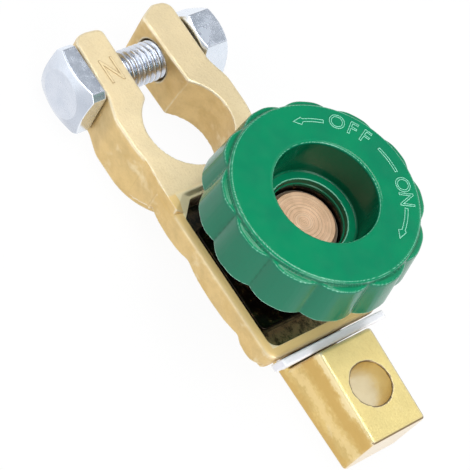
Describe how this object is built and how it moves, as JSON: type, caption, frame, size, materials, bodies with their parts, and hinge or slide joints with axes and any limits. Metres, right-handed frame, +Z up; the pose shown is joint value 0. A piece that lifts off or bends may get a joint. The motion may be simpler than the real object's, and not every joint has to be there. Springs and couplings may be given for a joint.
{
  "type": "battery disconnect switch",
  "caption": "Split clamp for a battery post, joined to a drilled cable lug through a screw-down contact that a lobed knob opens and closes.",
  "frame": {"origin": "centre of the bounding box in plan, at the underside that the clamp and the lug share", "axes": "+X from the post clamp towards the cable lug, +Y from the bolt's head towards its nut, +Z up along the knob's axis"},
  "size_m": [0.0946, 0.0404, 0.0348],
  "materials": {
    "cast_brass": "as cast, lightly blasted",
    "lug_brass": "milled",
    "plated_steel": "bright plated",
    "rivet_steel": "plain",
    "white_plastic": "satin",
    "turned_copper": "turned",
    "dark_copper": "darkened",
    "green_plastic": "semi-gloss"
  },
  "bodies": {
    "switch_base": {"clamp_body": "cast_brass", "terminal_lug": "lug_brass", "insulator_plate": "white_plastic", "stud_bush": "white_plastic", "contact_stud": "turned_copper", "near_rivet": "rivet_steel", "near_rivet_sleeve": "white_plastic", "far_rivet": "rivet_steel", "far_rivet_sleeve": "white_plastic"},
    "contact": {"contact_plate": "dark_copper"},
    "knob": {"knob": "green_plastic", "contact_nut": "lug_brass", "retaining_ring": "rivet_steel"},
    "bolt": {"clamp_bolt": "plated_steel"},
    "nut": {"clamp_nut": "plated_steel"}
  },
  "joints": [
    {"name": "contact_lift", "type": "slide", "parent": "switch_base", "child": "contact", "axis": [0, 0, 1], "range_m": [-0.00121, 0.00161]},
    {"name": "knob_turn", "type": "hinge", "parent": "contact", "child": "knob", "pos_m": [0.00823, 0, 0.0298], "axis": [0, 0, 1], "range_deg": [-216, 288]},
    {"name": "nut_turn", "type": "hinge", "parent": "switch_base", "child": "nut", "pos_m": [-0.03897, 0.0157, 0.0068], "axis": [0, 1, 0], "range_deg": [0, 1152]},
    {"name": "bolt_back_out", "type": "slide", "parent": "switch_base", "child": "bolt", "axis": [0, -1, 0], "range_m": [0, 0.00401]}
  ],
  "couplings": [
    {"joint": "contact_lift", "follows": "knob_turn", "m_per_rad": 0.00031831},
    {"joint": "bolt_back_out", "follows": "nut_turn", "m_per_rad": 0.00019894}
  ]
}
